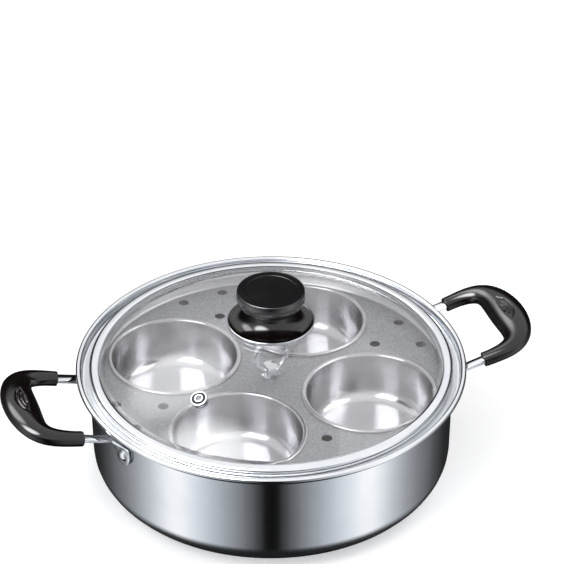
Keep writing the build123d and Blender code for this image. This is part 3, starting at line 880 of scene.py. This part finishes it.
def buildGrip(name, mirror, node):
    # Ovals strung along the line, wider and thicker in the middle, with the leaf in the top
    size = gripSize
    leaf = leafSize
    line = gripLine(size["stations"])
    last = len(line) - 1
    bm = bmesh.new()
    loops = []
    travelled = [0.0]
    for here, after in zip(line, line[1:]):
        travelled.append(travelled[-1] + (after - here).length)
    total = travelled[-1]
    for index, spot in enumerate(line):
        share = travelled[index] / total
        heading = (line[min(index + 1, last)] - line[max(index - 1, 0)]).normalized()
        across = heading.cross(zAxis)
        bulge = math.sin(math.pi * share) ** 2
        width = size["endWidth"] + (size["midWidth"] - size["endWidth"]) * bulge
        thick = size["endThick"] + (size["midThick"] - size["endThick"]) * bulge
        frameMatrix = Matrix((
            (-across.x * width / 2, 0, heading.x, spot.x),
            (-across.y * width / 2, 0, heading.y, spot.y),
            (0, thick / 2, 0, 0),
            (0, 0, 0, 1),
        ))
        made = bmesh.ops.create_circle(bm, cap_ends=False, segments=size["round"], radius=1,
                                       matrix=frameMatrix)
        along = travelled[index] - total / 2
        for vert in made["verts"]:
            outward = vert.co - spot
            rise = outward.z / (thick / 2)
            if rise > leaf["riseFrom"] and abs(along) < leaf["reach"]:
                sideways = -outward.dot(across)
                onTop = smoothStep(rise, leaf["riseFrom"], leaf["riseTo"])
                vert.co.z -= grooveDepth(along, sideways) * onTop
        loops.append(list({edge for vert in made["verts"] for edge in vert.link_edges}))
    for first, second in zip(loops, loops[1:]):
        bmesh.ops.bridge_loops(bm, edges=first + second)
    bmesh.ops.holes_fill(bm, edges=loops[0] + loops[-1], sides=0)
    bmesh.ops.recalc_face_normals(bm, faces=bm.faces[:])
    place = Matrix.Rotation(math.pi if mirror else 0, 4, "Z") @ gripPlane()
    grip = makeObject(bm, name, place)
    finishPiece(grip, "pan", "gripPlastic", [node], edge=size["endEdge"],
                sharp=size["sharp"])


strapSize = {"edge": 0.3, "sharp": 40}
# The dome is the arc through a middle point at these shares of the head's radius and height
rivetSize = {
    "angle": 21, "z": 62.59, "outer": 121.5, "head": 4, "height": 1.8, "shank": 2.4,
    "inner": 118.37, "innerHead": 4, "innerHeight": 1.2, "domeRadius": 0.62, "domeHeight": 0.66,
    "domeSteps": 10, "innerBend": 0.4, "steps": 48,
}


def buildRivets():
    size = rivetSize
    dome = arcPoints((0, size["outer"] + size["height"]),
                     (size["head"] * size["domeRadius"],
                      size["outer"] + size["height"] * size["domeHeight"]),
                     (size["head"], size["outer"]), size["domeSteps"])
    inner = size["inner"] - size["innerHeight"]
    points = dome + [(size["shank"], size["outer"]), (size["shank"], size["inner"]),
                     (size["innerHead"], size["inner"]), (size["innerHead"], inner), (0, inner)]
    bends = [0.0] * (len(points) - 3) + [size["innerBend"]]
    bm = bmesh.new()
    for side in (0, 180):
        for angle in (side - size["angle"], side + size["angle"]):
            one = bmesh.new()
            drawPath(one, points, bends)
            spinAll(one, size["steps"])
            place = (Matrix.Rotation(math.radians(angle), 4, "Z")
                     @ Matrix.Translation((0, 0, size["z"])) @ Matrix.Rotation(math.pi / 2, 4, "Y"))
            bmesh.ops.transform(one, matrix=place, verts=one.verts[:])
            mesh = bpy.data.meshes.new("rivet")
            one.to_mesh(mesh)
            one.free()
            bm.from_mesh(mesh)
            bpy.data.meshes.remove(mesh)
    rivets = makeObject(bm, "rivets")
    finishPiece(rivets, "pan", "brightSteel", ["handle_rivets"])


for sideName, mirrored in (("right", False), ("left", True)):
    buildGrip(sideName + "Grip", mirrored, f"{sideName}_handle_grip")
    copyNode(f"{sideName}_handle_bracket", "pan", "brightSteel",
             sharp=strapSize["sharp"], edge=strapSize["edge"])
buildRivets()
print("handles built")


# Studio: a pale floor in white light. Gloss sees a room of its own instead, dark behind the
# camera and behind the pan, pale to both sides, with a light sky, a dark ground and two soft
# boxes overhead.

studio = {
    "floorColour": "#F2F2F2", "floorDull": "#F0F0F0", "floorSize": 6.0, "floorRough": 0.9,
    "paperGrain": 3, "floorLift": 0.35, "glassLift": 0.17, "roomLight": 0.62,
    "cameraAzimuth": -108.1, "skyFrom": 0.42, "skyTo": 0.58, "skyColour": "#F4F5F7",
    "groundFrom": -0.74, "groundTo": -0.86, "groundColour": "#1A1B1C", "shineLevel": 1.12,
}
# Each soft box: where it is, the cosines of its edge and its core, and its level
softBoxes = [((-0.47, -0.06, 0.88), 0.905, 0.985, 16), ((-0.28, 0.6, 0.75), 0.955, 0.99, 5.5)]
# Grey levels that gloss sees round the room, each with its degrees off the camera's side
roomStops = [(0, "#000000"), (4, "#060606"), (9, "#444648"), (15, "#686B6E"), (22, "#898C90"),
             (30, "#A5A9AE"), (38, "#BDC2C8"), (46, "#D4D9DE"), (54, "#E8ECF0"), (63, "#FFFFFF"),
             (72, "#FAFBFC"), (80, "#DDE0E4"), (90, "#B9BCC0"), (101, "#94979B"), (114, "#747779"),
             (124, "#626467"), (132, "#444546"), (150, "#1E1F20"), (180, "#141415")]
white = hexColour("#FFFFFF")


def buildFloor():
    bm = bmesh.new()
    bmesh.ops.create_grid(bm, x_segments=8, y_segments=8, size=studio["floorSize"] / mm / 2)
    floor = makeObject(bm, "floor")
    material, tree, output, place = newMaterial("paleFloor")
    paper = noise(tree, place, studio["paperGrain"], detail=2)
    shader = addNode(tree, "ShaderNodeBsdfPrincipled", {
        "Base Color": tint(tree, remap(tree, paper, 0, 1), studio["floorColour"],
                           studio["floorDull"]),
        "Roughness": studio["floorRough"]})
    path = addNode(tree, "ShaderNodeLightPath")
    # Less of the lift through glass, so that the lid reads against the floor
    lift = addNode(tree, "ShaderNodeMath", {
        0: path.outputs["Is Camera Ray"], 1: studio["floorLift"] - studio["glassLift"],
        2: studio["glassLift"]}, operation="MULTIPLY_ADD")
    glow = addNode(tree, "ShaderNodeEmission", {"Color": white, "Strength": lift.outputs[0]})
    both = addNode(tree, "ShaderNodeAddShader", {0: shader.outputs[0], 1: glow.outputs[0]})
    seen = eitherRay(tree, path, "Is Camera Ray", "Is Transmission Ray")
    mixed = mixShaders(tree, seen, shader.outputs[0], both.outputs[0])
    tree.links.new(mixed, output.inputs["Surface"])
    floor.data.materials.append(material)
    floor.visible_glossy = False


def buildWorld():
    world = bpy.data.worlds.new("studioRoom")
    scene.world = world
    world.use_nodes = True
    tree = world.node_tree
    tree.nodes.clear()
    output = addNode(tree, "ShaderNodeOutputWorld")
    direction = addNode(tree, "ShaderNodeTexCoord").outputs["Generated"]
    turned = addNode(tree, "ShaderNodeVectorRotate", {
        "Vector": direction, "Angle": math.radians(-studio["cameraAzimuth"])}, rotation_type="Z_AXIS")
    parts = addNode(tree, "ShaderNodeSeparateXYZ", {"Vector": turned.outputs[0]})
    height = parts.outputs["Z"]
    azimuth = addNode(tree, "ShaderNodeMath", {0: parts.outputs["Y"], 1: parts.outputs["X"]},
                      operation="ARCTAN2")
    offSide = addNode(tree, "ShaderNodeMath", {0: azimuth.outputs[0]}, operation="ABSOLUTE")
    share = addNode(tree, "ShaderNodeMath", {0: offSide.outputs[0], 1: math.pi}, operation="DIVIDE")
    ramp = addNode(tree, "ShaderNodeValToRGB", {"Fac": share.outputs[0]})
    ramp.color_ramp.interpolation = "EASE"
    stops = ramp.color_ramp.elements
    while len(stops) < len(roomStops):
        stops.new(0.5)
    for stop, (degrees, grey) in zip(stops, roomStops):
        stop.position = degrees / 180
        stop.color = hexColour(grey)
    sky = smoothRange(tree, height, studio["skyFrom"], studio["skyTo"])
    room = addNode(tree, "ShaderNodeMix", {"Factor": sky}, data_type="RGBA")
    tree.links.new(ramp.outputs["Color"], room.inputs[6])
    room.inputs[7].default_value = hexColour(studio["skyColour"])
    # What lies under the pan is dark, so turned edges end in a dark line
    ground = smoothRange(tree, height, studio["groundFrom"], studio["groundTo"])
    around = addNode(tree, "ShaderNodeMix", {"Factor": ground}, data_type="RGBA")
    tree.links.new(room.outputs[2], around.inputs[6])
    around.inputs[7].default_value = hexColour(studio["groundColour"])
    level = addNode(tree, "ShaderNodeValue").outputs[0]
    level.default_value = studio["shineLevel"]
    for aim, edge, core, boxLevel in softBoxes:
        facing = addNode(tree, "ShaderNodeVectorMath", {
            0: direction, 1: tuple(Vector(aim).normalized())}, operation="DOT_PRODUCT")
        box = smoothRange(tree, facing.outputs["Value"], edge, core, boxLevel)
        level = addNode(tree, "ShaderNodeMath", {0: level, 1: box}).outputs[0]
    path = addNode(tree, "ShaderNodeLightPath")
    seen = eitherRay(tree, path, "Is Camera Ray", "Is Transmission Ray")
    lit = addNode(tree, "ShaderNodeBackground", {"Color": white, "Strength": studio["roomLight"]})
    shiny = addNode(tree, "ShaderNodeBackground", {"Color": around.outputs[2], "Strength": level})
    plain = addNode(tree, "ShaderNodeBackground", {"Color": white, "Strength": 1.0})
    first = mixShaders(tree, path.outputs["Is Glossy Ray"], lit.outputs[0], shiny.outputs[0])
    second = mixShaders(tree, seen, first, plain.outputs[0])
    tree.links.new(second, output.inputs["Surface"])


def pointAt(holder, place, target):
    holder.location = place
    aim = Vector(target) - Vector(place)
    holder.rotation_euler = aim.to_track_quat("-Z", "Y").to_euler()


# Place and watts of each lamp. Metal does not see them, only what they light.
lamps = {"keyBox": ((-0.9, -0.5, 1.2), 9), "fillBox": ((0.9, -0.2, 1.1), 5)}
lampWidth = 0.9
lampTarget = (0, 0, 0.05)


def buildLamps():
    for name, (place, watts) in lamps.items():
        lamp = bpy.data.lights.new(name, "AREA")
        lamp.shape = "RECTANGLE"
        lamp.size = lamp.size_y = lampWidth
        lamp.energy = watts
        holder = addObject(name, lamp)
        pointAt(holder, place, lampTarget)
        holder.visible_glossy = False


view = {
    "place": (-0.38296, -1.17167, 0.94784), "lookAt": (0.00833, -0.00279, 0.14333),
    "lens": 145.14, "sensor": 36, "clipEnd": 50,
}


def buildCamera():
    camera = bpy.data.cameras.new("photoView")
    camera.lens = view["lens"]
    camera.sensor_width = view["sensor"]
    camera.clip_end = view["clipEnd"]
    holder = addObject("photoView", camera)
    pointAt(holder, view["place"], view["lookAt"])
    scene.camera = holder


buildFloor()
buildWorld()
buildLamps()
buildCamera()
scene.view_settings.view_transform = "Standard"
print("studio built")
